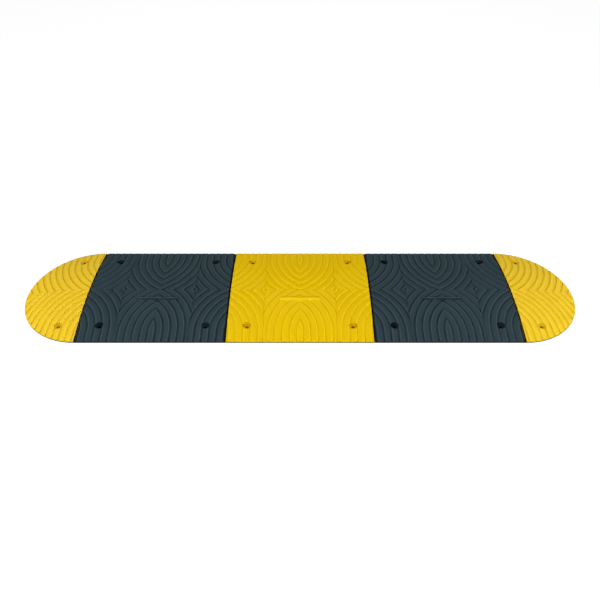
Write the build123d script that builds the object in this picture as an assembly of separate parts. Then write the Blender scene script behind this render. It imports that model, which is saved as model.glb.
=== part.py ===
"""Low speed ramp: three domed road sections and two half-round end caps, joined by steel dowel bars.

Frame: X along the ramp, Y across it (the way the traffic goes), Z up, origin on the road at the middle.
All sizes are in millimetres.
"""
import os
from math import acos, ceil, cos, floor, hypot, radians, sin, sqrt

from build123d import *

# Overall form
section_length = 500.0
section_count = 3
ramp_depth = 460.0
ramp_height = 30.0
edge_height = 6.0
joint_gap = 0.5

# Tread: scales in nested pointed arches, each a straight leg at the edge and then an arc to the crest
tooth_height = 3.0
riser_width = 2.0
straight_leg = 42.0
arch_centre_offset = 105.0
arch_station_angle = 8.0
rib_pitch = 25.0
centre_first_riser = 11.0
joint_first_riser = 7.5
cap_rib_pitch = 23.0
cap_first_riser = 12.5
valley_width = 3.0
valley_depth = 3.5
joint_slot_width = 1.2

# Fixing holes, counterbored for an anchor's head
hole_end_inset = 70.0
hole_row_spacing = 330.0
bolt_hole_diameter = 13.0
counterbore_diameter = 28.0
seat_thickness = 9.0

# Square dowel bars across each joint
dowel_side = 12.0
dowel_length = 80.0
dowel_row_spacing = 160.0
dowel_side_clearance = 0.15
dowel_end_clearance = 0.5

# Coring of the underside
skin_thickness = 7.0
core_rib = 10.0
core_end_block = 105.0
core_field_depth = 270.0
core_columns = 3
core_rows = 2
cap_core_end_block = 60.0

# Values that follow from the sizes above
half_depth = ramp_depth / 2
arch_start = half_depth - straight_leg
crest_drop = (ramp_height - edge_height) * arch_start / (arch_start + 2 * straight_leg)
crest_radius = (crest_drop**2 + arch_start**2) / (2 * crest_drop)
shoulder_height = ramp_height - crest_drop
edge_slope = (shoulder_height - edge_height) / straight_leg
tall = 4 * ramp_height
moulded_length = section_length - joint_gap
cap_joint_x = section_count * section_length / 2
hole_row = hole_row_spacing / 2
hole_x = section_length / 2 - hole_end_inset
group_half_width = section_length / 4
tile_end = group_half_width - valley_width / 2
joint_tile_start = joint_gap / 2 + joint_slot_width


def dome_height(distance):
    """Height of the plain dome at a distance from the crest line, or from the middle of a cap's joint."""
    if distance < arch_start:
        return ramp_height - crest_radius + sqrt(crest_radius**2 - distance**2)
    return shoulder_height - edge_slope * (distance - arch_start)


dowel_row = dowel_row_spacing / 2
dowel_axis_height = dome_height(dowel_row) / 2


def section_dome():
    """A middle section's plain dome: a rounded crest between two straight slopes, from the road up."""
    crest = ThreePointArc((-arch_start, shoulder_height), (0, ramp_height), (arch_start, shoulder_height))
    rest = Polyline(
        (arch_start, shoulder_height),
        (half_depth, edge_height),
        (half_depth, 0),
        (-half_depth, 0),
        (-half_depth, edge_height),
        (-arch_start, shoulder_height),
    )
    return extrude(Plane.YZ * make_face([crest, rest]), moulded_length / 2, both=True)


def cap_dome():
    """An end cap's plain dome: half of the section's profile turned about the joint's middle.

    The joint is at x = 0 and the cap's round end points along +X.
    """
    middle = arch_start / 2
    crest = ThreePointArc((0, ramp_height), (middle, dome_height(middle)), (arch_start, shoulder_height))
    rest = Polyline(
        (arch_start, shoulder_height),
        (half_depth, edge_height),
        (half_depth, 0),
        (0, 0),
        (0, ramp_height),
    )
    turned = revolve(Plane.XZ * make_face([crest, rest]), Axis.Z)
    keep = Box(ramp_depth, 2 * ramp_depth, tall, align=(Align.MIN, Align.CENTER, Align.CENTER))
    return turned & Pos(joint_gap / 2, 0, 0) * keep


def lowered(dome, drop):
    """The dome moved straight down."""
    return Pos(0, 0, -drop) * dome


def saw_corners(first, pitch, reach, outwards):
    """Corners of the saw-tooth across an arch group, as pairs of a place and a drop below the dome.

    Each scale climbs for one pitch and falls in one riser, which looks outwards or inwards.
    """
    drops = (0, tooth_height) if outwards else (tooth_height, 0)
    corners = []
    for index in range(-1, ceil((reach - first) / pitch) + 1):
        riser = first + index * pitch
        corners.append((riser - riser_width / 2, drops[0]))
        corners.append((riser + riser_width / 2, drops[1]))
    return corners


def comb_face(corners, place, distance):
    """An upright comb-shaped face across the bands, from below the road up to the saw-tooth.

    place turns a place across the bands into a point in plan, and distance is that point's from the crest.
    """
    top = []
    for across, drop in corners:
        x, y = place(across)
        top.append((x, y, dome_height(distance(x, y)) - drop))
    feet = [(*place(across), -tall) for across in (corners[-1][0], corners[0][0])]
    return make_face(Polyline(*top, *feet, close=True))


def leg_place(y):
    """Places across the straight legs at one distance from the crest."""
    return lambda across: (across, y)


def arc_place(angle):
    """Places across the arcs at one angle about the arch's centre."""

    def place(across):
        radius = arch_centre_offset + across
        return radius * cos(angle) - arch_centre_offset, arch_start - radius * sin(angle)

    return place


def tread_tile(first, pitch, outwards, start, end, distance):
    """One side of an arch group in one half of the ramp, as a ruled loft through combs.

    The group's centre line is x = 0, the crest is y = 0, and the tile lies between start and end along x.
    """
    reach = hypot(end + arch_centre_offset, arch_start) - arch_centre_offset
    corners = saw_corners(first, pitch, reach, outwards)
    station_angle = radians(arch_station_angle)
    full_turn = acos(arch_centre_offset / hypot(arch_centre_offset, arch_start))
    places = [leg_place(half_depth), leg_place(arch_start)]
    for index in range(1, floor(full_turn / station_angle) + 2):
        places.append(arc_place(index * station_angle))
    tread = loft([comb_face(corners, place, distance) for place in places], ruled=True)
    field = Box(end - start, half_depth, tall, align=(Align.MIN, Align.MIN, Align.MIN))
    return tread & Pos(start, 0, 0) * field


def both_halves(tiles):
    """The tiles and their mirror images across the crest."""
    return tiles + [mirror(tile, about=Plane.XZ) for tile in tiles]


def section_tiles():
    """A middle section's tread: one arch group at its centre and half a group at each end."""
    crest_line = lambda x, y: abs(y)
    centre = tread_tile(centre_first_riser, rib_pitch, True, 0, tile_end, crest_line)
    end = tread_tile(joint_first_riser, rib_pitch, False, joint_tile_start, tile_end, crest_line)
    quarter = [centre, Pos(section_length / 2, 0) * mirror(end, about=Plane.YZ)]
    half = quarter + [mirror(tile, about=Plane.YZ) for tile in quarter]
    return both_halves(half)


def cap_tiles():
    """An end cap's tread: half an arch group that runs on to the round edge."""
    tile = tread_tile(cap_first_riser, cap_rib_pitch, False, joint_tile_start, half_depth, hypot)
    rim = Cylinder(half_depth, tall, align=(Align.CENTER, Align.CENTER, Align.MIN))
    return both_halves([tile & rim])


def cut_cells(body, dome, plan):
    """Core the underside with the plan's cells, up to the skin under the tread."""
    return body - (extrude(plan, tall) & lowered(dome, tooth_height + skin_thickness))


def fixing_hole():
    """Cutter for one fixing hole, on its own axis from the road up."""
    bore = Cylinder(bolt_hole_diameter / 2, tall, align=(Align.CENTER, Align.CENTER, Align.CENTER))
    head = Cylinder(counterbore_diameter / 2, tall, align=(Align.CENTER, Align.CENTER, Align.MIN))
    return bore + Pos(0, 0, seat_thickness) * head


def dowel_socket():
    """Cutter for the sockets of one dowel, along X and centred on a joint."""
    side = dowel_side + 2 * dowel_side_clearance
    return Box(dowel_length + 2 * dowel_end_clearance, side, side)


def core_cells(width, depth, columns, rows):
    """Plan of the underside's cells between their ribs."""
    cell_width = (width - (columns - 1) * core_rib) / columns
    cell_depth = (depth - (rows - 1) * core_rib) / rows
    places = GridLocations(cell_width + core_rib, cell_depth + core_rib, columns, rows)
    return Sketch() + [place * Rectangle(cell_width, cell_depth) for place in places]


def middle_section():
    """One middle section at the origin."""
    dome = section_dome()
    body = (dome & lowered(dome, valley_depth)) + section_tiles()
    field_width = section_length - 2 * core_end_block
    cells = core_cells(field_width, core_field_depth, core_columns, core_rows)
    body = cut_cells(body, dome, cells)
    for place in GridLocations(2 * hole_x, hole_row_spacing, 2, 2):
        body -= place * fixing_hole()
    for place in GridLocations(section_length, dowel_row_spacing, 2, 2):
        body -= Pos(0, 0, dowel_axis_height) * place * dowel_socket()
    return body


def end_cap():
    """One end cap with its joint face at x = 0 and its round end along +X."""
    dome = cap_dome()
    body = (dome & lowered(dome, valley_depth)) + cap_tiles()
    field = Pos(cap_core_end_block, 0) * Rectangle(ramp_depth, ramp_depth, align=(Align.MIN, Align.CENTER))
    cells = Circle(core_field_depth / 2) & field
    cells -= Rectangle(ramp_depth, core_rib)
    body = cut_cells(body, dome, cells)
    for side in (-1, 1):
        body -= Pos(hole_end_inset, side * hole_row, 0) * fixing_hole()
        body -= Pos(0, side * dowel_row, dowel_axis_height) * dowel_socket()
    return body


def dowel():
    """One plain steel dowel bar, along X and centred on its joint."""
    return Box(dowel_length, dowel_side, dowel_side)


def export_part(shape, node):
    """Write one piece under its node's name."""
    export_step(shape, f"parts/{node}.step")


os.makedirs("parts", exist_ok=True)

section = middle_section()
section_names = ("mid_section_left", "mid_section_centre", "mid_section_right")
for number, name in enumerate(section_names):
    offset = (number - (section_count - 1) / 2) * section_length
    export_part(Pos(offset, 0, 0) * section, name)

cap = end_cap()
export_part(Pos(cap_joint_x, 0, 0) * cap, "end_cap_right")
export_part(Pos(-cap_joint_x, 0, 0) * Rot(0, 0, 180) * cap, "end_cap_left")

pin = dowel()
for number in range(section_count + 1):
    joint_x = number * section_length - cap_joint_x
    for name, side in (("front", -1), ("rear", 1)):
        place = Pos(joint_x, side * dowel_row, dowel_axis_height)
        export_part(place * pin, f"dowel_{number + 1}_{name}")
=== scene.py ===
# %% [markdown]
# A low speed ramp for a road or a car park. Five mouldings lie in a row: three domed middle sections,
# yellow between two black ones, and a yellow half-round cap at each end. Eight hidden square steel bars
# keep them in line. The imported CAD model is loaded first, and everything below is built in its frame, in
# metres.

# %% Load the frame
from math import acos, cos, hypot, pi, radians, sin, sqrt

import bmesh
import bpy
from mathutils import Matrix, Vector


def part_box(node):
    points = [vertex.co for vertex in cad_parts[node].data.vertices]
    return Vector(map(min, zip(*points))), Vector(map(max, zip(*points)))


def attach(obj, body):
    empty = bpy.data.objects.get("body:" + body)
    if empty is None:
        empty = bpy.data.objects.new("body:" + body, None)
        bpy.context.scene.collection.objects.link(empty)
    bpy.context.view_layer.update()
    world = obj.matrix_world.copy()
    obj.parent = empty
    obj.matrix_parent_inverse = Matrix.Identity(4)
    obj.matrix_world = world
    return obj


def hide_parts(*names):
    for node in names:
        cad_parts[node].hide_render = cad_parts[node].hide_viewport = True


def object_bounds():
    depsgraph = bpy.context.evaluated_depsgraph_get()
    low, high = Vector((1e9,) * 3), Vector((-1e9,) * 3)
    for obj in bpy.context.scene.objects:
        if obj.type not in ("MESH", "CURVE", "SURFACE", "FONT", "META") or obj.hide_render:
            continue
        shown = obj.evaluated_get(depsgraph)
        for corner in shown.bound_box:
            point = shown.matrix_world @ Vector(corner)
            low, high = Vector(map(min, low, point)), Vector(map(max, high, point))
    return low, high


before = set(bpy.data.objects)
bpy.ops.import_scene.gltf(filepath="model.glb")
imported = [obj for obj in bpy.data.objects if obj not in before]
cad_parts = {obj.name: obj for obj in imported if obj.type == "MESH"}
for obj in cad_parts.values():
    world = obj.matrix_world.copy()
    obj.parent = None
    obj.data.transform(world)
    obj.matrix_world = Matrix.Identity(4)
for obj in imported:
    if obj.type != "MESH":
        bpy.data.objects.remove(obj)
cad_low, cad_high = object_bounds()
bpy.ops.object.select_all(action="DESELECT")
print("CAD box in mm:", [round(1000 * size, 1) for size in cad_high - cad_low])

# %% [markdown]
# The camera stands in front of the ramp and looks down on it at about 44 degrees, as in the photograph.
# The two long edges and the caps' round ends fix its distance and its lens. The ramp sits a little above
# the middle of the picture, so a small vertical shift does the framing and the camera's aim stays simple.

# %% Camera
camera_pitch = radians(43.7)
camera_distance = 2.063
camera_focal_pixels = 571.0
picture_pixels = 600.0
aim_row = 295.1

camera_data = bpy.data.cameras.new("photo_camera")
camera_data.sensor_width = 36.0
camera_data.lens = camera_focal_pixels / picture_pixels * camera_data.sensor_width
camera_data.shift_y = (aim_row - picture_pixels / 2) / picture_pixels
camera_data.clip_end = 100.0
camera = bpy.data.objects.new("photo_camera", camera_data)
camera.location = (0.0, -camera_distance * cos(camera_pitch), camera_distance * sin(camera_pitch))
camera.rotation_euler = (pi / 2 - camera_pitch, 0.0, 0.0)
bpy.context.scene.collection.objects.link(camera)
bpy.context.scene.camera = camera
print("camera lens in mm:", round(camera_data.lens, 2))

# %% [markdown]
# The floor, the sky and every finish are trees of shader nodes. By hand the nodes are added and wired in
# the shader editor. Written out line by line, the same wiring is long and hard to follow. So a few helpers
# add the nodes. They take plain values and other nodes' outputs alike, and most of them return the output
# to go on with.

# %% Helpers for shader nodes


def feed(tree, value, socket):
    """Give a node's input another node's output, or a plain value."""
    if isinstance(value, bpy.types.NodeSocket):
        tree.links.new(value, socket)
    else:
        socket.default_value = value


def add_node(tree, kind, **settings):
    """A new node with some of its settings and inputs."""
    node = tree.nodes.new(kind)
    for label, value in settings.items():
        if label in node.inputs:
            feed(tree, value, node.inputs[label])
        else:
            setattr(node, label, value)
    return node


def calculate(tree, operation, *values):
    """The result of a math node."""
    node = add_node(tree, "ShaderNodeMath", operation=operation)
    for value, socket in zip(values, node.inputs):
        feed(tree, value, socket)
    return node.outputs["Value"]


def map_range(tree, value, low, high, to_low=0.0, to_high=1.0):
    """A value taken from one range to another, with the ends clamped."""
    node = add_node(tree, "ShaderNodeMapRange", Value=value)
    labels = ("From Min", "From Max", "To Min", "To Max")
    for label, end in zip(labels, (low, high, to_low, to_high)):
        feed(tree, end, node.inputs[label])
    return node.outputs["Result"]


def blend(tree, mask, first, second, strength=1.0):
    """Two colours mixed by a mask times a strength."""
    factor = calculate(tree, "MULTIPLY", mask, strength)
    mix = add_node(tree, "ShaderNodeMix", data_type="RGBA", Factor=factor, A=first, B=second)
    return mix.outputs["Result"]


def object_place(tree):
    """Each spot's place in the object's own frame."""
    return add_node(tree, "ShaderNodeTexCoord").outputs["Object"]


def split(tree, vector):
    """The outputs X, Y and Z of a vector."""
    return add_node(tree, "ShaderNodeSeparateXYZ", Vector=vector).outputs


node_helpers = (feed, add_node, calculate, map_range, blend, object_place, split)
print("node helpers:", [helper.__name__ for helper in node_helpers])

# %% [markdown]
# The ramp lies on a plain white floor. A floor that is only lit comes out grey, and more light would burn
# out the yellow. So a light path mask shows the camera and glossy surfaces a floor that glows nearly white
# and still takes the ramp's shadow, while all other light meets a plain grey floor. Under the ramp, where
# the fixing holes show it, the floor is painted: painted shade below the black sections, and a dim amber
# painted glow below the yellow mouldings, which stands in for their colour bounced back.

# %% Floor
floor_size = 40.0
floor_glow = 0.92
floor_shade = 0.22
floor_bounce = 0.5
road_margin = 0.02
# Under the ramp: an amber glow painted for bounced yellow light, and a dark painted shade.
painted_bounce_amber = (0.20, 0.085, 0.0, 1.0)
painted_shade_dark = (0.0, 0.0, 0.0, 1.0)
black_low, black_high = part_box("mid_section_right")


def grey(level):
    """A neutral colour of one level."""
    return (level, level, level, 1.0)


def vector_step(tree, operation, *vectors):
    """The result of a vector math node: a number for a length, and a vector otherwise."""
    node = add_node(tree, "ShaderNodeVectorMath", operation=operation)
    for vector, socket in zip(vectors, node.inputs):
        feed(tree, vector, socket)
    return node.outputs["Value" if operation == "LENGTH" else "Vector"]


def seen_directly(tree):
    """1 for what the camera or a glossy surface sees, and 0 for all other light."""
    paths = add_node(tree, "ShaderNodeLightPath").outputs
    return calculate(tree, "MAXIMUM", paths["Is Camera Ray"], paths["Is Glossy Ray"])


def outside_ramp(tree, folded):
    """0 under the ramp and 1 outside it, by the distance from the line between the caps' centres."""
    past_joint = vector_step(tree, "SUBTRACT", folded, (cad_high.x - cad_high.y, 0.0, 0.0))
    from_line = vector_step(tree, "MAXIMUM", past_joint, (0.0, 0.0, 0.0))
    distance = vector_step(tree, "LENGTH", from_line)
    return map_range(tree, distance, cad_high.y - road_margin, cad_high.y - road_margin / 2)


def below_black(tree, folded):
    """1 below the two black sections and 0 elsewhere."""
    middle = (black_low.x + black_high.x) / 2
    half_length = (black_high.x - black_low.x) / 2
    return calculate(tree, "COMPARE", split(tree, folded)["X"], middle, half_length)


def floor_material():
    """Nearly white with the ramp's shadow where seen, painted shade and glow under it, and plain grey to
    bounce.
    """
    material = bpy.data.materials.new("studio_white")
    material.use_nodes = True
    tree = material.node_tree
    tree.nodes.clear()
    folded = vector_step(tree, "ABSOLUTE", object_place(tree))
    outside = outside_ramp(tree, folded)
    # Painted light under the ramp: dark shade below the black sections, an amber glow below the yellow ones.
    under_ramp_paint = blend(tree, below_black(tree, folded), painted_bounce_amber, painted_shade_dark)
    shaded = add_node(tree, "ShaderNodeBsdfDiffuse", Color=calculate(tree, "MULTIPLY", outside, floor_shade))
    glow = add_node(tree, "ShaderNodeEmission", Color=blend(tree, outside, under_ramp_paint, grey(floor_glow)))
    seen = add_node(tree, "ShaderNodeAddShader")
    feed(tree, shaded.outputs["BSDF"], seen.inputs[0])
    feed(tree, glow.outputs["Emission"], seen.inputs[1])
    bounce = add_node(tree, "ShaderNodeBsdfDiffuse", Color=grey(floor_bounce))
    choose = add_node(tree, "ShaderNodeMixShader", Fac=seen_directly(tree))
    feed(tree, bounce.outputs["BSDF"], choose.inputs[1])
    feed(tree, seen.outputs["Shader"], choose.inputs[2])
    add_node(tree, "ShaderNodeOutputMaterial", Surface=choose.outputs["Shader"])
    return material


bpy.ops.mesh.primitive_plane_add(size=floor_size, location=(0.0, 0.0, 0.0))
floor = bpy.context.object
floor.name = "studio_floor"
floor.data.materials.append(floor_material())
print("floor:", floor_size, "m wide, in", floor.data.materials[0].name)

# %% [markdown]
# Soft studio light falls on the ramp. Two low lamps at the sides rake across the tread and bring out its
# risers, and one lamp in front and one high behind fill in the rest. A bright sky would light every riser
# alike and flatten the tread. So the sky gives little light, and the same light path mask as on the floor
# shows it white.

# %% Light
scene = bpy.context.scene
scene.view_settings.view_transform = "Standard"
sky_light = 0.22
sky_seen = 1.0


def soft_lamp(name, place, aim, size, watts):
    """A square area lamp at a place, turned towards a point."""
    data = bpy.data.lights.new(name, "AREA")
    data.shape = "SQUARE"
    data.size = size
    data.energy = watts
    lamp = bpy.data.objects.new(name, data)
    lamp.location = place
    lamp.rotation_euler = (Vector(aim) - Vector(place)).to_track_quat("-Z", "Y").to_euler()
    scene.collection.objects.link(lamp)


def pale_sky():
    """A sky that lights the ramp softly, and shows as white to the camera and to reflections."""
    sky = bpy.data.worlds.new("pale_sky")
    sky.use_nodes = True
    tree = sky.node_tree
    background = tree.nodes["Background"]
    background.inputs["Color"].default_value = grey(1.0)
    level = map_range(tree, seen_directly(tree), 0.0, 1.0, sky_light, sky_seen)
    feed(tree, level, background.inputs["Strength"])
    return sky


for name, side in (("left_lamp", -1.0), ("right_lamp", 1.0)):
    soft_lamp(name, place=(1.7 * side, -0.45, 0.5), aim=(0.7 * side, 0.0, 0.0), size=0.5, watts=7.0)
soft_lamp("front_lamp", place=(0.0, -2.6, 1.05), aim=(0.0, 0.0, 0.0), size=0.8, watts=54.0)
soft_lamp("rear_lamp", place=(0.0, 1.2, 2.3), aim=(0.0, 0.0, 0.0), size=0.9, watts=30.0)
scene.world = pale_sky()

# %% [markdown]
# Every middle section has the same dome: a round crest over most of its depth and a straight slope along
# each long edge, down to a thin lip. A cap has the same profile turned about the middle of its joint. The
# dome could be a surface of its own, with the tread cut into it. It is simpler to model the tread flat and
# then drape it over the dome, for which only the dome's height at each point is needed.

# %% The dome
section_low, section_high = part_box("mid_section_centre")
joint_gap = 0.0005
section_length = section_high.x - section_low.x + joint_gap
half_depth = section_high.y
ramp_height = cad_high.z
lip_height = 0.006
leg_length = 0.042
arch_start = half_depth - leg_length
crest_drop = (ramp_height - lip_height) * arch_start / (arch_start + 2 * leg_length)
crest_radius = (crest_drop**2 + arch_start**2) / (2 * crest_drop)
shoulder_height = ramp_height - crest_drop
lip_slope = (shoulder_height - lip_height) / leg_length


def dome_height(point, turned=False):
    """Height of the plain dome at a point, for a section or for a cap, whose dome is turned."""
    distance = hypot(point.x, point.y) if turned else abs(point.y)
    if distance < arch_start:
        return ramp_height - crest_radius + sqrt(crest_radius**2 - distance**2)
    return shoulder_height - lip_slope * (distance - arch_start)


quarters = [Vector((0.0, step * half_depth / 4)) for step in range(5)]
print("dome from crest to lip in mm:", [round(1000 * dome_height(point), 1) for point in quarters])

# %% [markdown]
# The tread is a saw-tooth of scales. Across the bands, each scale swells up for one pitch and drops in one
# short steep riser with a rounded top edge. In the arch groups at a section's centre the risers look
# outwards, away from the arch's middle. In the groups at the joints and on the caps they look inwards. The
# columns of the strip below are the places across the bands where a tooth needs a vertex. Both kinds of
# group use the same columns, so that their meshes meet vertex on vertex where they touch.

# %% Teeth
tooth_height = 0.003
section_pitch = 0.025
section_reach = 0.200
centre_first_riser = 0.011
joint_first_riser = 0.0075
cap_pitch = 0.023
cap_reach = 0.285
cap_first_riser = 0.0125
riser_steps = (-0.0028, -0.0019, -0.0010, 0.0010)
riser_share = (0.0, 0.05, 0.18, 1.0)
band_steps = (0.1, 0.22, 0.38, 0.58, 0.8)
band_bulge = 1.6
micrometre_digits = 6


def band_width(pitch):
    """Width of one scale between two risers."""
    return pitch + riser_steps[0] - riser_steps[-1]


def tooth_columns(groups, pitch, reach):
    """Places across the bands that need a vertex: a few on each riser and a few along each band."""
    steps = riser_steps + tuple(riser_steps[-1] + share * band_width(pitch) for share in band_steps)
    places = {0.0, reach}
    for first, outwards in groups:
        for index in range(-1, round(reach / pitch) + 2):
            for step in steps:
                place = first + index * pitch + (step if outwards else -step)
                places.add(round(place, micrometre_digits))
    return sorted(place for place in places if 0.0 <= place <= reach)


def tooth_drop(place, first, pitch, outwards):
    """Drop below the dome at a place across the bands, as a share of the tooth's height."""
    offset = (place - first) * (1 if outwards else -1)
    offset = (offset - riser_steps[0]) % pitch + riser_steps[0]
    if offset >= riser_steps[-1]:
        along = (offset - riser_steps[-1]) / band_width(pitch)
        return riser_share[-1] * (1 - along) ** band_bulge
    index = 0
    while offset > riser_steps[index + 1]:
        index += 1
    along = (offset - riser_steps[index]) / (riser_steps[index + 1] - riser_steps[index])
    return riser_share[index] + along * (riser_share[index + 1] - riser_share[index])


section_groups = ((centre_first_riser, True), (joint_first_riser, False))
cap_groups = ((cap_first_riser, False),)
section_columns = tooth_columns(section_groups, section_pitch, section_reach)
cap_columns = tooth_columns(cap_groups, cap_pitch, cap_reach)
print("columns across a tile:", len(section_columns), "on a section,", len(cap_columns), "on a cap")

# %% [markdown]
# One tile of tread is a quarter of an arch group. By hand it would be a strip of the teeth along the
# edge, pulled in for the straight legs and spun about the arch's centre for the arcs, then trimmed at the
# group's centre line, at the crest and at the next group. The same steps are done here with a grid, the
# spin operator and the bisect operator, because curves or a displaced plane would blur the sharp risers.

# %% Tile of tread
arch_offset = 0.105
arch_steps = 26
spare_turn = radians(1.0)
leg_rows = 3
weld = 0.00002
snap_reach = 1.05 * weld


def pick_vertices(piece, test):
    """In edit mode, select the vertices whose place passes the test, with the edges and faces between."""
    bpy.ops.mesh.select_all(action="DESELECT")
    mesh = bmesh.from_edit_mesh(piece.data)
    mesh.select_mode = {"VERT"}
    for vertex in mesh.verts:
        vertex.select_set(test(vertex.co))
    mesh.select_flush_mode()
    bmesh.update_edit_mesh(piece.data)


def bisect(place, normal, clear=False):
    """Cut the whole mesh in edit mode along a plane, and clear the normal's side if that is asked."""
    bpy.ops.mesh.select_all(action="SELECT")
    bpy.ops.mesh.bisect(plane_co=place, plane_no=normal, clear_outer=clear, threshold=weld)


def snap(piece, axis, place):
    """Put the vertices close to a plane right on it, so that mirrored halves close."""
    for vertex in piece.data.vertices:
        if abs(vertex.co[axis] - place) < snap_reach:
            vertex.co[axis] = place


def tread_tile(name, columns, first, pitch, outwards):
    """A flat quarter of an arch group: x from its centre line, y from the crest, z below the dome."""
    last = len(columns) - 1
    bpy.ops.mesh.primitive_grid_add(x_subdivisions=last, y_subdivisions=leg_rows, size=1.0)
    tile = bpy.context.object
    tile.name = name
    # The grid reaches from -0.5 to 0.5 each way
    for vertex in tile.data.vertices:
        place = columns[round((vertex.co.x + 0.5) * last)]
        along = arch_start + (vertex.co.y + 0.5) * leg_length
        vertex.co = (place, along, -tooth_height * tooth_drop(place, first, pitch, outwards))
    bpy.ops.object.mode_set(mode="EDIT")
    pick_vertices(tile, lambda place: place.y < arch_start + weld)
    turn = acos(arch_offset / hypot(arch_offset, arch_start)) + spare_turn
    centre = (-arch_offset, arch_start, 0.0)
    bpy.ops.mesh.spin(steps=arch_steps, angle=turn, center=centre, axis=(0.0, 0.0, 1.0))
    bisect((0.0, 0.0, 0.0), (0.0, -1.0, 0.0), clear=True)
    bpy.ops.object.mode_set(mode="OBJECT")
    snap(tile, 1, 0.0)
    return tile


centre_tile = tread_tile("centre_tile", section_columns, centre_first_riser, section_pitch, outwards=True)
joint_tile = tread_tile("joint_tile", section_columns, joint_first_riser, section_pitch, outwards=False)
cap_tile = tread_tile("cap_tile", cap_columns, cap_first_riser, cap_pitch, outwards=False)
for tile in (centre_tile, joint_tile, cap_tile):
    print(tile.name, len(tile.data.vertices), "vertices")

# %% [markdown]
# Where two groups meet, the mould leaves a fine valley. Both tiles are brought down to the lower of their
# two heights there, and a little further, so they can be welded. At a joint between two mouldings the top
# edge is turned down steeply, which leaves the narrow dark slot that shows between the colours. A bevel
# would follow each tooth, so these edges are bisected at a few lines and moved down instead.

# %% Sides of the tiles
group_half = section_length / 4
seam_profile = ((0.0014, None), (0.0, 0.0007))
slot_profile = ((0.0031, None), (0.0027, 0.0042), (0.0, 0.0044))


def select_only(*pieces):
    """Select these objects alone, and make the first one active."""
    bpy.ops.object.select_all(action="DESELECT")
    for piece in pieces:
        piece.select_set(True)
    bpy.context.view_layer.objects.active = pieces[0]


def finish_side(tile, place, inwards, profile=(), flat=False):
    """Trim a tile at a plane across x, and turn its edge down there by a profile of insets and depths.

    A depth counts from the tread, or from the dome if the side is turned down flat. None leaves the tread.
    """
    select_only(tile)
    bpy.ops.object.mode_set(mode="EDIT")
    bisect((place, 0.0, 0.0), (-inwards, 0.0, 0.0), clear=True)
    bpy.ops.object.mode_set(mode="OBJECT")
    snap(tile, 0, place)
    bpy.ops.object.mode_set(mode="EDIT")
    for inset, depth in profile:
        line = place + inwards * inset
        if inset > 0.0:
            bisect((line, 0.0, 0.0), (1.0, 0.0, 0.0))
        if depth is None:
            continue
        pick_vertices(tile, lambda point: (point.x - line) * inwards < weld)
        if flat:
            bpy.ops.transform.resize(value=(1.0, 1.0, 0.0), center_override=(0.0, 0.0, -depth))
        else:
            bpy.ops.transform.translate(value=(0.0, 0.0, -depth))
    bpy.ops.object.mode_set(mode="OBJECT")


def border(tile, place):
    """The vertices of a tile at a plane across x, in order along it."""
    line = [vertex for vertex in tile.data.vertices if abs(vertex.co.x - place) < weld]
    return sorted(line, key=lambda vertex: vertex.co.y)


finish_side(centre_tile, place=0.0, inwards=1.0)
for tile in (joint_tile, cap_tile):
    finish_side(tile, place=joint_gap / 2, inwards=1.0, profile=slot_profile, flat=True)
for tile in (centre_tile, joint_tile):
    finish_side(tile, place=group_half, inwards=-1.0, profile=seam_profile)
seam = list(zip(border(centre_tile, group_half), border(joint_tile, group_half), strict=True))
for vertex, partner in seam:
    low = min(vertex.co.z, partner.co.z)
    vertex.co.z = low
    partner.co.z = low
print("seam between the groups:", len(seam), "pairs of vertices")

# %% [markdown]
# A middle section is four mirrored quarters of a centre tile and a joint tile. They are welded, draped
# over the dome, and closed by pulling the outline down below the road. The booleans later on need a closed
# shell, so its open edges are counted.

# %% Middle section's shell
under_road = -0.02


def weld_mesh(piece):
    """Merge doubled vertices and turn all faces the same way."""
    select_only(piece)
    bpy.ops.object.mode_set(mode="EDIT")
    bpy.ops.mesh.select_all(action="SELECT")
    bpy.ops.mesh.remove_doubles(threshold=weld)
    bpy.ops.mesh.normals_make_consistent(inside=False)
    bpy.ops.object.mode_set(mode="OBJECT")


def mirrored(piece, x_axis, y_axis):
    """Mirror a piece about the origin with a modifier, and apply it."""
    select_only(piece)
    mirror = piece.modifiers.new("mirror", "MIRROR")
    mirror.use_axis = (x_axis, y_axis, False)
    mirror.use_mirror_merge = True
    mirror.merge_threshold = weld
    bpy.ops.object.modifier_apply(modifier=mirror.name)


def drape(piece, turned):
    """Lift a flat tread onto the dome. A cap's tread, which runs on past the rim, stops above the bottom."""
    for vertex in piece.data.vertices:
        vertex.co.z += max(dome_height(vertex.co, turned), under_road / 2)


def pull_down(piece):
    """Extrude the open outline of a draped tread down below the road, and close it with one face."""
    select_only(piece)
    bpy.ops.object.mode_set(mode="EDIT")
    bpy.ops.mesh.select_mode(type="EDGE")
    bpy.ops.mesh.select_all(action="DESELECT")
    bpy.ops.mesh.select_non_manifold(
        use_wire=False, use_multi_face=False, use_non_contiguous=False, use_verts=False)
    bpy.ops.mesh.extrude_region_move()
    bpy.ops.transform.resize(value=(1.0, 1.0, 0.0), center_override=(0.0, 0.0, under_road))
    bpy.ops.mesh.edge_face_add()
    bpy.ops.mesh.select_all(action="SELECT")
    bpy.ops.mesh.normals_make_consistent(inside=False)
    bpy.ops.object.mode_set(mode="OBJECT")


def open_edges(piece):
    """How many edges of a mesh don't have exactly two faces. A closed shell has none."""
    mesh = bmesh.new()
    mesh.from_mesh(piece.data)
    count = sum(len(edge.link_faces) != 2 for edge in mesh.edges)
    mesh.free()
    return count


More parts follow.
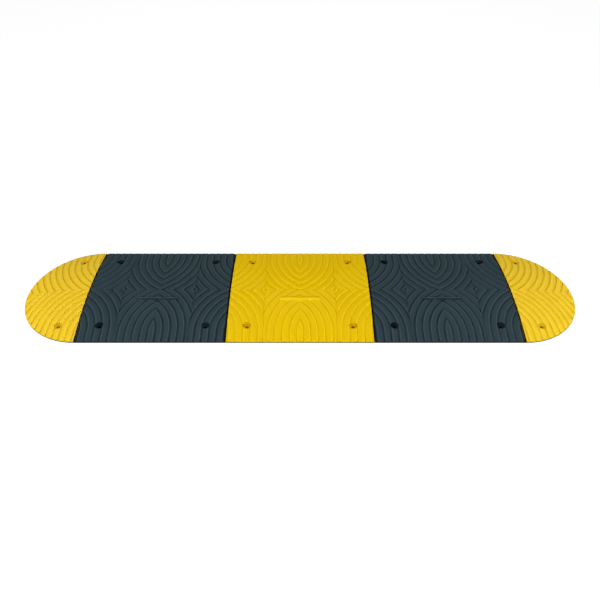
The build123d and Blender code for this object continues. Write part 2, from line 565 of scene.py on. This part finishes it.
select_only(joint_tile)
joint_tile.scale.x = -1.0
joint_tile.location.x = section_length / 2
bpy.ops.object.transform_apply(location=True, rotation=False, scale=True)
select_only(centre_tile, joint_tile)
bpy.ops.object.join()
section = centre_tile
section.name = "section"
weld_mesh(section)
mirrored(section, True, True)
drape(section, turned=False)
pull_down(section)
print("section:", len(section.data.polygons), "faces,", open_edges(section), "open edges")

# %% [markdown]
# An end cap is two mirrored tiles that run on past the round rim. They are draped over the turned dome and
# closed below the road. The rim itself comes last, as a cut, because a round outline across straight rows
# of teeth is clean only when it is cut.

# %% End cap's shell
cap = cap_tile
cap.name = "cap"
mirrored(cap, False, True)
weld_mesh(cap)
drape(cap, turned=True)
pull_down(cap)
print("cap:", len(cap.data.polygons), "faces,", open_edges(cap), "open edges")

# %% [markdown]
# Each section carries a slim plain bar just in front of the crest, where a moulded plate sits on the real
# one. It is a box with its front leaned back and its edges softened, draped over the dome and welded on
# with a boolean, so that section and bar are one skin. It stays bare.

# %% Plain bar
bar_length = 0.140
bar_top = 0.0035
bar_slope = 0.015
bar_distance = 0.0530
bar_root = 0.007
bar_lift = 0.0025
bar_bevel = 0.0006


def cut(piece, tool, operation):
    """Apply a boolean with a tool object, and delete the tool."""
    select_only(piece)
    boolean = piece.modifiers.new("cut", "BOOLEAN")
    boolean.operation = operation
    boolean.solver = "EXACT"
    boolean.object = tool
    bpy.ops.object.modifier_apply(modifier=boolean.name)
    bpy.data.objects.remove(tool)


bpy.ops.mesh.primitive_cube_add(size=1.0, location=(0.0, -bar_distance, 0.0))
bar = bpy.context.object
bar.scale = (bar_length, bar_top + bar_slope, bar_root)
bpy.ops.object.transform_apply(location=True, rotation=False, scale=True)
bpy.ops.object.mode_set(mode="EDIT")
pick_vertices(bar, lambda place: place.z > 0.0 and place.y < -bar_distance)
bpy.ops.transform.translate(value=(0.0, bar_slope, 0.0))
bpy.ops.mesh.select_all(action="SELECT")
bpy.ops.mesh.bevel(offset=bar_bevel, segments=2, affect="EDGES")
bpy.ops.object.mode_set(mode="OBJECT")
for vertex in bar.data.vertices:
    vertex.co.z += dome_height(vertex.co) + bar_lift - bar_root / 2
cut(section, bar, "UNION")
print("section with its bar:", open_edges(section), "open edges")

# %% [markdown]
# The fixing holes are counterbored from above, so that an anchor's head sits below the tread, and go right
# through. Square sockets in the joint faces take the steel bars. The holes cross the teeth, where insetting
# and extruding faces by hand would leave a ragged mesh. So holes and sockets are modelled as cutters of
# their own shape, which booleans take away.

# %% Cutters for holes and sockets
bore_radius = 0.0065
head_radius = 0.014
seat_height = 0.009
hole_sides = 56
socket_side_room = 0.00015
socket_end_room = 0.0005
below = 0.01


def hole_tool(x, y):
    """A stepped plug for one fixing hole: a wide head above the seat and a bore below it."""
    height = 2 * ramp_height
    bpy.ops.mesh.primitive_cylinder_add(
        vertices=hole_sides, radius=head_radius, depth=height, location=(x, y, seat_height + height / 2))
    tool = bpy.context.object
    bpy.ops.object.transform_apply(location=True, rotation=False, scale=False)
    bpy.ops.object.mode_set(mode="EDIT")
    pick_vertices(tool, lambda place: place.z < seat_height + weld)
    bpy.ops.mesh.inset(thickness=head_radius - bore_radius)
    bpy.ops.mesh.extrude_region_move(TRANSFORM_OT_translate={"value": (0.0, 0.0, -seat_height - below)})
    bpy.ops.object.mode_set(mode="OBJECT")
    return tool


def socket_tool(bar_name, shift=0.0):
    """A block for one bar's sockets: the bar's own box with some room, moved along the ramp."""
    low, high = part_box(bar_name)
    room = Vector((socket_end_room, socket_side_room, socket_side_room))
    bpy.ops.mesh.primitive_cube_add(size=1.0, location=(low + high) / 2 + Vector((shift, 0.0, 0.0)))
    tool = bpy.context.object
    tool.scale = high - low + 2 * room
    bpy.ops.object.transform_apply(location=True, rotation=False, scale=True)
    return tool


print("holes of", round(2000 * bore_radius), "mm in counterbores of", round(2000 * head_radius), "mm")

# %% [markdown]
# Underneath, a thick moulding is cored out to an even skin, with ribs left between the cells. A cell's
# cutter is a grid that follows the dome one skin below the tread's valleys, extruded down past the road. A
# plain block would leave the skin thick at the crest and thin at the edge.

# %% Cutter for the underside's cells
skin = 0.007
core_rib = 0.010
core_width = 0.290
core_depth = 0.270
core_columns = 3
core_rows = 2
core_steps_x = 6
core_steps_y = 8


def core_tool(x, y, width, depth, turned):
    """A block for one cell of the underside, with its top one skin below the tread's valleys."""
    bpy.ops.mesh.primitive_grid_add(
        x_subdivisions=core_steps_x, y_subdivisions=core_steps_y, size=1.0, location=(x, y, 0.0))
    tool = bpy.context.object
    tool.scale = (width, depth, 1.0)
    bpy.ops.object.transform_apply(location=True, rotation=False, scale=True)
    for vertex in tool.data.vertices:
        vertex.co.z = dome_height(vertex.co, turned) - tooth_height - skin
    bpy.ops.object.mode_set(mode="EDIT")
    bpy.ops.mesh.select_all(action="SELECT")
    bpy.ops.mesh.extrude_region_move()
    bpy.ops.transform.resize(value=(1.0, 1.0, 0.0), center_override=(0.0, 0.0, -below))
    bpy.ops.mesh.select_all(action="SELECT")
    bpy.ops.mesh.normals_make_consistent(inside=False)
    bpy.ops.object.mode_set(mode="OBJECT")
    return tool


cell_width = (core_width - (core_columns - 1) * core_rib) / core_columns
cell_depth = (core_depth - (core_rows - 1) * core_rib) / core_rows
print("a section's cells in mm:", round(1000 * cell_width, 1), "x", round(1000 * cell_depth, 1))

# %% [markdown]
# A section gets four holes, four sockets and six cells. Last, a block with a rounded upper edge trims its
# outline, which softens the lip along the road. A bevel on the lip would have to run over every tooth that
# ends there.

# %% Section's holes, underside and lip
hole_inset = 0.070
hole_row = 0.165
trim = 0.0001
edge_round = ((0.0032, 0.0), (0.0044, 0.0003), (0.0054, 0.0010), (0.0062, 0.0022))


def soften_edge(block, turned):
    """Round the upper edge of a block that trims the outline, along its long sides or all round."""
    bpy.ops.object.transform_apply(location=True, rotation=False, scale=True)
    bpy.ops.object.mode_set(mode="EDIT")
    for height, _ in edge_round:
        bisect((0.0, 0.0, height), (0.0, 0.0, 1.0))
    bpy.ops.object.mode_set(mode="OBJECT")
    for vertex in block.data.vertices:
        inset = max([inset for height, inset in edge_round if vertex.co.z > height - weld], default=0.0)
        shrink = 1 - inset / half_depth
        vertex.co.y *= shrink
        if turned:
            vertex.co.x *= shrink


hole_x = section_length / 2 - hole_inset
section_holes = [(x, y) for x in (-hole_x, hole_x) for y in (-hole_row, hole_row)]
section_tools = [hole_tool(x, y) for x, y in section_holes]
section_tools += [socket_tool(f"dowel_{joint}_{row}") for joint in (2, 3) for row in ("front", "rear")]
for column in range(core_columns):
    for row in range(core_rows):
        x = (column - (core_columns - 1) / 2) * (cell_width + core_rib)
        y = (row - (core_rows - 1) / 2) * (cell_depth + core_rib)
        section_tools.append(core_tool(x, y, cell_width, cell_depth, turned=False))
for tool in section_tools:
    cut(section, tool, "DIFFERENCE")
bpy.ops.mesh.primitive_cube_add(size=1.0, location=(0.0, 0.0, ramp_height))
road_block = bpy.context.object
road_block.scale = (2 * section_length, 2 * half_depth - trim, 2 * ramp_height)
soften_edge(road_block, turned=False)
cut(section, road_block, "INTERSECT")
print("section:", len(section.data.polygons), "faces,", open_edges(section), "open edges")

# %% [markdown]
# A cap gets two holes, two sockets and two cells, which end in a round wall inside the rim. Last, a round
# block cuts the rim, with the same softened lip as on a section, because a ring of faces pulled down by
# hand would not meet the teeth that run across it.

# %% Cap's holes, underside and rim
cap_core_start = 0.060
rim_sides = 192
half_run = 1.5 * section_length

cap_holes = [(hole_inset, y) for y in (-hole_row, hole_row)]
cap_tools = [hole_tool(x, y) for x, y in cap_holes]
cap_tools += [socket_tool(f"dowel_4_{row}", shift=-half_run) for row in ("front", "rear")]
for side in (-1.0, 1.0):
    width = core_depth / 2 - cap_core_start
    depth = core_depth / 2 - core_rib / 2
    tool = core_tool(cap_core_start + width / 2, side * (core_rib + depth) / 2, width, depth, turned=True)
    bpy.ops.mesh.primitive_cylinder_add(vertices=rim_sides, radius=core_depth / 2, depth=4 * ramp_height)
    cut(tool, bpy.context.object, "INTERSECT")
    cap_tools.append(tool)
for tool in cap_tools:
    cut(cap, tool, "DIFFERENCE")
bpy.ops.mesh.primitive_cylinder_add(
    vertices=rim_sides, radius=half_depth, depth=2 * ramp_height, location=(0.0, 0.0, ramp_height))
rim_block = bpy.context.object
soften_edge(rim_block, turned=True)
cut(cap, rim_block, "INTERSECT")
print("cap:", len(cap.data.polygons), "faces,", open_edges(cap), "open edges")

# %% [markdown]
# The finish needs to know how deep each spot lies in the tread. Every face corner keeps its drop below the
# dome, as a share of a tooth's height: 0 on the top edges, 1 in the valleys, more in the joints' slots.
# Faces that are no tread take one share for the whole face: deep in the holes, which so take the valleys'
# painted shade, neither high nor deep on the lip, in the sockets and underneath. The bar's sloped front
# takes painted shade on a black section and a painted highlight on the yellow one, so its share is given
# for each copy, and the depths are marked on the copies.

# %% Depth of each spot
plain_share = 0.4
valley_share = 1.0
slot_share = 1.3
steep_face = 0.25
upright_face = 0.01
lip_width = 1.2 * edge_round[-1][1]
lip_lean = 0.3
bar_lean = 0.35
slot_inset = joint_gap / 2 + slot_profile[0][0]
seam_inset = seam_profile[0][0]


def face_share(face, turned, holes, bar_share):
    """The share of a face that is no tread, or None."""
    place = face.center
    steep = face.normal.z < steep_face
    outwards = place.xy.normalized() if turned else Vector((0.0, 1.0 if place.y > 0.0 else -1.0))
    from_joint = place.x if turned else section_length / 2 - abs(place.x)
    on_bar = not turned and abs(place.x) < bar_length / 2 and abs(place.y + bar_distance) < bar_slope
    # Hole walls take the valley share, so the painted shade of the valleys darkens them.
    if any(hypot(place.x - x, place.y - y) < head_radius for x, y in holes):
        return valley_share
    if place.xy.dot(outwards) > half_depth - lip_width and face.normal.xy.dot(outwards) > lip_lean:
        return plain_share
    # The bar's front share gives painted shade on black and a painted highlight on yellow.
    if on_bar and face.normal.y < -bar_lean and place.z > ramp_height / 2:
        return bar_share
    if steep and joint_gap < from_joint < slot_inset and face.normal.z > upright_face:
        return slot_share
    return plain_share if steep else None


def mark_depths(mesh, turned, holes, bar_share):
    """Keep each face corner's share in an attribute, which the finish reads."""
    shares = mesh.attributes.new("valley", "FLOAT", "CORNER")
    for face in mesh.polygons:
        fixed = face_share(face, turned, holes, bar_share)
        on_seam = not turned and abs(abs(face.center.x) - group_half) < seam_inset
        for corner in face.loop_indices:
            point = mesh.vertices[mesh.loops[corner].vertex_index].co
            share = (dome_height(point, turned) - point.z) / tooth_height if fixed is None else fixed
            shares.data[corner].value = min(share, valley_share) if on_seam else share


print("shares: plain faces", plain_share, "valleys and holes", valley_share, "joint slots", slot_share)

# %% [markdown]
# The three sections and the two caps come from the same two moulds, so they are copies of the two finished
# shapes, each with a mesh of its own. Each is moved to its place along the ramp and stands in for the CAD
# node of the same moulding. The move is applied, so that the object sits at the origin as a CAD node does.

# %% Copies in place
smooth_angle = radians(28.5)
# The bar's front gets painted shade on the black copies and a painted highlight on the yellow one.
shaded_bar_share = 0.9
highlighted_bar_share = 0.0


def placed_copy(source, name, x, half_turn=False, bar_share=None):
    """A copy of a moulding with its own mesh and depths, moved along the ramp, half turned if asked."""
    turned = source is cap
    copy = source.copy()
    copy.data = source.data.copy()
    copy.name = name
    scene.collection.objects.link(copy)
    mark_depths(copy.data, turned, cap_holes if turned else section_holes, bar_share)
    copy.location.x = x
    copy.rotation_euler.z = pi if half_turn else 0.0
    select_only(copy)
    bpy.ops.object.transform_apply(location=True, rotation=True, scale=True)
    bpy.ops.object.shade_smooth_by_angle(angle=smooth_angle)
    return copy


left_cap = placed_copy(cap, "cap_left_tread", -half_run, half_turn=True)
left_section = placed_copy(section, "section_left_tread", -section_length, bar_share=shaded_bar_share)
centre_section = placed_copy(section, "section_centre_tread", 0.0, bar_share=highlighted_bar_share)
right_section = placed_copy(section, "section_right_tread", section_length, bar_share=shaded_bar_share)
right_cap = placed_copy(cap, "cap_right_tread", half_run)
mouldings = (
    (left_cap, "end_cap_left", "yellow_plastic"),
    (left_section, "mid_section_left", "black_plastic"),
    (centre_section, "mid_section_centre", "yellow_plastic"),
    (right_section, "mid_section_right", "black_plastic"),
    (right_cap, "end_cap_right", "yellow_plastic"),
)
for piece, node, slot in mouldings:
    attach(piece, "root")
    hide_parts(node)
    print(piece.name, "stands for", node)
bpy.data.objects.remove(section)
bpy.data.objects.remove(cap)

# %% [markdown]
# The mouldings are dull, because the mould's surface is finely grained. Modelled grain would need millions
# of faces, so it is a height made of a fine noise and a coarser one, which the material takes as bump. All
# the plastics use it. So it is a node group, built once and placed in each of them.

# %% Grain of the mould
grain_scale = 900.0
coarse_scale = 140.0
fine_part = 0.6
coarse_part = 0.4


def new_group(name, inputs, outputs):
    """An empty shader node group with float inputs and outputs, and its two end nodes."""
    group = bpy.data.node_groups.new(name, "ShaderNodeTree")
    for label, value in inputs.items():
        socket = group.interface.new_socket(label, in_out="INPUT", socket_type="NodeSocketFloat")
        socket.default_value = value
    for label in outputs:
        group.interface.new_socket(label, in_out="OUTPUT", socket_type="NodeSocketFloat")
    return group, group.nodes.new("NodeGroupInput"), group.nodes.new("NodeGroupOutput")


def noise(tree, place, scale, detail, roughness):
    """Noise of a given scale at a place."""
    node = add_node(
        tree, "ShaderNodeTexNoise", Vector=place, Scale=scale, Detail=detail, Roughness=roughness)
    return node.outputs["Fac"]


def moulding_grain():
    """Fine grain of the mould's surface, as a height from 0 to 1."""
    tree, given, result = new_group("moulding_grain", {"Grain": grain_scale}, ["Height"])
    place = object_place(tree)
    fine = noise(tree, place, scale=given.outputs["Grain"], detail=3.0, roughness=0.6)
    coarse = noise(tree, place, scale=coarse_scale, detail=2.0, roughness=0.5)
    fine_height = calculate(tree, "MULTIPLY", fine, fine_part)
    coarse_height = calculate(tree, "MULTIPLY", coarse, coarse_part)
    feed(tree, calculate(tree, "ADD", fine_height, coarse_height), result.inputs["Height"])
    return tree


grain_group = moulding_grain()
print("group:", grain_group.name, "with", len(grain_group.nodes), "nodes")

# %% [markdown]
# A large moulding is never quite one shade. The plastic cools unevenly in the mould, which leaves slow
# clouds, and faint streaks where it flowed. Both are noise again, the second one stretched along the way
# that the plastic flowed. They could be painted on, but then each copy would show the same clouds.

# %% Drift of the shade
drift_scale = 7.0
drift_range = (0.3, 0.7)
flow_stretch = (60.0, 9.0, 60.0)
flow_range = (0.35, 0.7)


def shade_drift():
    """Slow clouds over a moulding and streaks across the ramp, each as a mask from 0 to 1."""
    tree, given, result = new_group("shade_drift", {"Scale": drift_scale}, ["Drift", "Flow"])
    place = object_place(tree)
    clouds = noise(tree, place, scale=given.outputs["Scale"], detail=3.0, roughness=0.55)
    feed(tree, map_range(tree, clouds, *drift_range), result.inputs["Drift"])
    stretched = add_node(tree, "ShaderNodeMapping", Vector=place, Scale=flow_stretch).outputs["Vector"]
    streaks = noise(tree, stretched, scale=1.0, detail=4.0, roughness=0.6)
    feed(tree, map_range(tree, streaks, *flow_range), result.inputs["Flow"])
    return tree


drift_group = shade_drift()
print("group:", drift_group.name, "with", len(drift_group.nodes), "nodes")

# %% [markdown]
# The marks follow the shape. Dust and painted shade lie low in the tread, in patches, and scuffs with a
# painted highlight are on its top edges. Painted shade darkens the joints' slots and the foot of the lip.
# The depth that every face corner keeps gives the first three. The painted shade at the foot takes the
# height above the road, on upright faces outside the holes.

# %% Dust, scuffs, painted shade and painted highlights
# Dust darkens the valleys and holes, and is also painted shade in the creases.
dust_patches = (0.35, 0.65, 0.5, 1.0)
# Scuffs lighten the top edges, partly as wear and partly as a painted highlight.
scuff_highlight_depth = 0.06
rubbed_highlight_spots = (0.35, 0.7, 0.35, 1.0)
# The joints' slots and the lip's foot take a painted shade.
slot_shade_depths = (1.05, 1.2)
foot_shade_heights = (0.0020, 0.0070)
foot_shade_full = 0.9
upright_tilts = (0.6, 0.9)
outer_depths = (0.7, 0.9)


def dust_shade_and_highlights():
    """Masks: dust and painted shade low, scuffs and painted highlights on top, painted shade in slots and
    foot.
    """
    inputs = {"Valley": 0.0, "Dust Start": 0.7, "Dust Full": 0.95}
    tree, given, result = new_group("dust_shade_and_highlights", inputs, ["Dust", "Scuff And Highlight", "Slot And Foot Shade"])
    place = object_place(tree)
    valley = given.outputs["Valley"]
    # Dust low in the tread, in patches, which is also painted shade in the creases.
    low = map_range(tree, valley, given.outputs["Dust Start"], given.outputs["Dust Full"])
    patches = noise(tree, place, scale=30.0, detail=4.0, roughness=0.6)
    patchy = map_range(tree, patches, *dust_patches)
    feed(tree, calculate(tree, "MULTIPLY", low, patchy), result.inputs["Dust"])
    # Scuffs on the high edges, which are also a painted highlight.
    high = map_range(tree, valley, 0.0, scuff_highlight_depth, 1.0, 0.0)
    spots = noise(tree, place, scale=85.0, detail=5.0, roughness=0.7)
    rubbed_highlight = map_range(tree, spots, *rubbed_highlight_spots)
    feed(tree, calculate(tree, "MULTIPLY", high, rubbed_highlight), result.inputs["Scuff And Highlight"])
    # Painted shade in the joints' slots, near black.
    slot_shade = map_range(tree, valley, *slot_shade_depths)
    # Painted contact shade up the foot of the lip, on upright faces outside the holes.
    foot = map_range(tree, split(tree, place)["Z"], *foot_shade_heights, foot_shade_full, 0.0)
    normal = add_node(tree, "ShaderNodeNewGeometry").outputs["True Normal"]
    tilt = calculate(tree, "ABSOLUTE", split(tree, normal)["Z"])
    upright = map_range(tree, tilt, *upright_tilts, 1.0, 0.0)
    outer = map_range(tree, valley, *outer_depths, 1.0, 0.0)
    foot_shade = calculate(tree, "MULTIPLY", calculate(tree, "MULTIPLY", foot, upright), outer)
    feed(tree, calculate(tree, "MAXIMUM", slot_shade, foot_shade), result.inputs["Slot And Foot Shade"])
    return tree


marks_and_shade_group = dust_shade_and_highlights()
print("group:", marks_and_shade_group.name, "with", len(marks_and_shade_group.nodes), "nodes")

# %% [markdown]
# One recipe makes all the plastics. It starts from a base tone, drifts to a deeper one in clouds, streaks
# and grain speckles, and lays dust with painted shade, scuffs with painted highlights, and painted shade in
# the slots and at the foot over it by the shared masks. The grain also changes the gloss a little and
# gives a small bump, so the plastic stays dull from all sides.

# %% Recipe for the plastics
drift_strength = 0.6
flow_strength = 0.35
speckle_range = (0.42, 0.62)
speckle_strength = 0.5
dust_shade_strength = 0.9
# Near-black painted shade for the joints' slots and the lip's foot.
painted_shade_black = grey(0.005)
gloss_range = (0.3, 0.7)
gloss_below = 0.06
gloss_above = 0.08
grain_strength = 0.9
grain_depth = 0.0004


def place_group(tree, group, values):
    """A group placed in a material with its own values, as the group's outputs."""
    node = add_node(tree, "ShaderNodeGroup", node_tree=group)
    for label, value in values.items():
        feed(tree, value, node.inputs[label])
    return node.outputs


def plastic(name, base, deep, dust_shade, dust_shade_range, scuff_highlight, scuff_highlight_strength, roughness, specular):
    """Moulded plastic with a drifting tone, a fine grain, dust and scuffs, and painted shade and highlights.
    """
    material = bpy.data.materials.new(name)
    material.use_nodes = True
    tree = material.node_tree
    shader = tree.nodes["Principled BSDF"]
    valley = add_node(tree, "ShaderNodeAttribute", attribute_name="valley").outputs["Fac"]
    dust_shade_start, dust_shade_full = dust_shade_range
    drift = place_group(tree, drift_group, {"Scale": drift_scale})
    grain = place_group(tree, grain_group, {"Grain": grain_scale})["Height"]
    marks_and_shade = place_group(
        tree, marks_and_shade_group, {"Valley": valley, "Dust Start": dust_shade_start, "Dust Full": dust_shade_full})
    colour = blend(tree, drift["Drift"], base, deep, drift_strength)
    colour = blend(tree, drift["Flow"], colour, deep, flow_strength)
    colour = blend(tree, map_range(tree, grain, *speckle_range), colour, deep, speckle_strength)
    # Dust and painted shade in the valleys and holes.
    colour = blend(tree, marks_and_shade["Dust"], colour, dust_shade, dust_shade_strength)
    # Scuffs with a painted highlight on the top edges.
    colour = blend(tree, marks_and_shade["Scuff And Highlight"], colour, scuff_highlight, scuff_highlight_strength)
    # Painted shade in the joint slots and at the lip's foot.
    colour = blend(tree, marks_and_shade["Slot And Foot Shade"], colour, painted_shade_black)
    feed(tree, colour, shader.inputs["Base Color"])
    gloss = map_range(tree, grain, *gloss_range, roughness - gloss_below, roughness + gloss_above)
    feed(tree, gloss, shader.inputs["Roughness"])
    bump = add_node(tree, "ShaderNodeBump", Strength=grain_strength, Distance=grain_depth, Height=grain)
    feed(tree, bump.outputs["Normal"], shader.inputs["Normal"])
    shader.inputs["Specular IOR Level"].default_value = specular
    return material


print("grain on the plastics:", round(1000 * grain_depth, 2), "mm deep, at strength", grain_strength)

# %% [markdown]
# The yellow is a strong road yellow, a little paler on the caps, and the black a dull blue-black. The caps'
# paler tone is a painted sheen. On the black the lines of dust and painted shade are dark and narrow, on
# the caps they fade out up each scale as painted shade, and on the yellow section they are faint. Two
# yellows are used, because one tone for all would miss the caps' paler look, which is painted sheen.

# %% Colours of the mouldings
# Each dust colour is a darker tone that paints shade low in the tread.
section_yellow = plastic(
    "strong_yellow_plastic",
    base=(0.775, 0.512, 0.001, 1.0),
    deep=(0.735, 0.475, 0.001, 1.0),
    dust_shade=(0.655, 0.410, 0.001, 1.0),
    dust_shade_range=(0.75, 1.0),
    # The scuff colours here and below are a painted highlight on the top edges, as well as wear.
    scuff_highlight=(0.88, 0.61, 0.01, 1.0),
    scuff_highlight_strength=0.85,
    roughness=0.42,
    specular=0.02,
)
# The caps' yellow is paler, a painted sheen, and its wide dust range paints shade down each scale.
cap_sheen_yellow = plastic(
    "sheen_pale_yellow_plastic",
    base=(0.815, 0.560, 0.030, 1.0),
    deep=(0.775, 0.520, 0.022, 1.0),
    dust_shade=(0.630, 0.385, 0.008, 1.0),
    dust_shade_range=(0.2, 1.0),
    scuff_highlight=(0.90, 0.65, 0.05, 1.0),
    scuff_highlight_strength=0.5,
    roughness=0.42,
    specular=0.03,
)
black = plastic(
    "blue_black_plastic",
    base=(0.0320, 0.0535, 0.0640, 1.0),
    deep=(0.0245, 0.0435, 0.0525, 1.0),
    dust_shade=(0.005, 0.010, 0.012, 1.0),
    dust_shade_range=(0.6, 0.95),
    scuff_highlight=(0.100, 0.125, 0.135, 1.0),
    scuff_highlight_strength=0.45,
    roughness=0.36,
    specular=0.008,
)
finishes = (
    (left_cap, cap_sheen_yellow),
    (left_section, black),
    (centre_section, section_yellow),
    (right_section, black),
    (right_cap, cap_sheen_yellow),
)
for piece, finish in finishes:
    piece.data.materials.clear()
    piece.data.materials.append(finish)
    print(piece.name, "takes", finish.name)

# %% [markdown]
# The bars keep their CAD meshes, because a plain square bar needs no more shape. They are cold-drawn steel
# with a bright zinc plating, so the finish has fine lines along their length and a soft cloud of duller
# zinc.

# %% Zinc on the dowels
bright_zinc = (0.62, 0.63, 0.64, 1.0)
dull_zinc = (0.48, 0.50, 0.53, 1.0)
line_stretch = (40.0, 4000.0, 4000.0)
line_range = (0.3, 0.7)
zinc_roughness = (0.22, 0.4)
line_strength = 0.3
line_depth = 0.00003


def zinc_steel():
    """Zinc-plated steel with fine drawing lines along the bar."""
    material = bpy.data.materials.new("zinc_steel")
    material.use_nodes = True
    tree = material.node_tree
    shader = tree.nodes["Principled BSDF"]
    shader.inputs["Metallic"].default_value = 1.0
    place = object_place(tree)
    stretched = add_node(tree, "ShaderNodeMapping", Vector=place, Scale=line_stretch).outputs["Vector"]
    lines = noise(tree, stretched, scale=1.0, detail=2.0, roughness=0.5)
    cloud = noise(tree, place, scale=120.0, detail=3.0, roughness=0.55)
    feed(tree, blend(tree, cloud, bright_zinc, dull_zinc), shader.inputs["Base Color"])
    feed(tree, map_range(tree, lines, *line_range, *zinc_roughness), shader.inputs["Roughness"])
    bump = add_node(tree, "ShaderNodeBump", Strength=line_strength, Distance=line_depth, Height=lines)
    feed(tree, bump.outputs["Normal"], shader.inputs["Normal"])
    return material


zinc = zinc_steel()
dowels = [node for name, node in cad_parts.items() if name.startswith("dowel")]
for dowel in dowels:
    for slot in dowel.material_slots:
        slot.material = zinc
print("zinc on", len(dowels), "dowels")
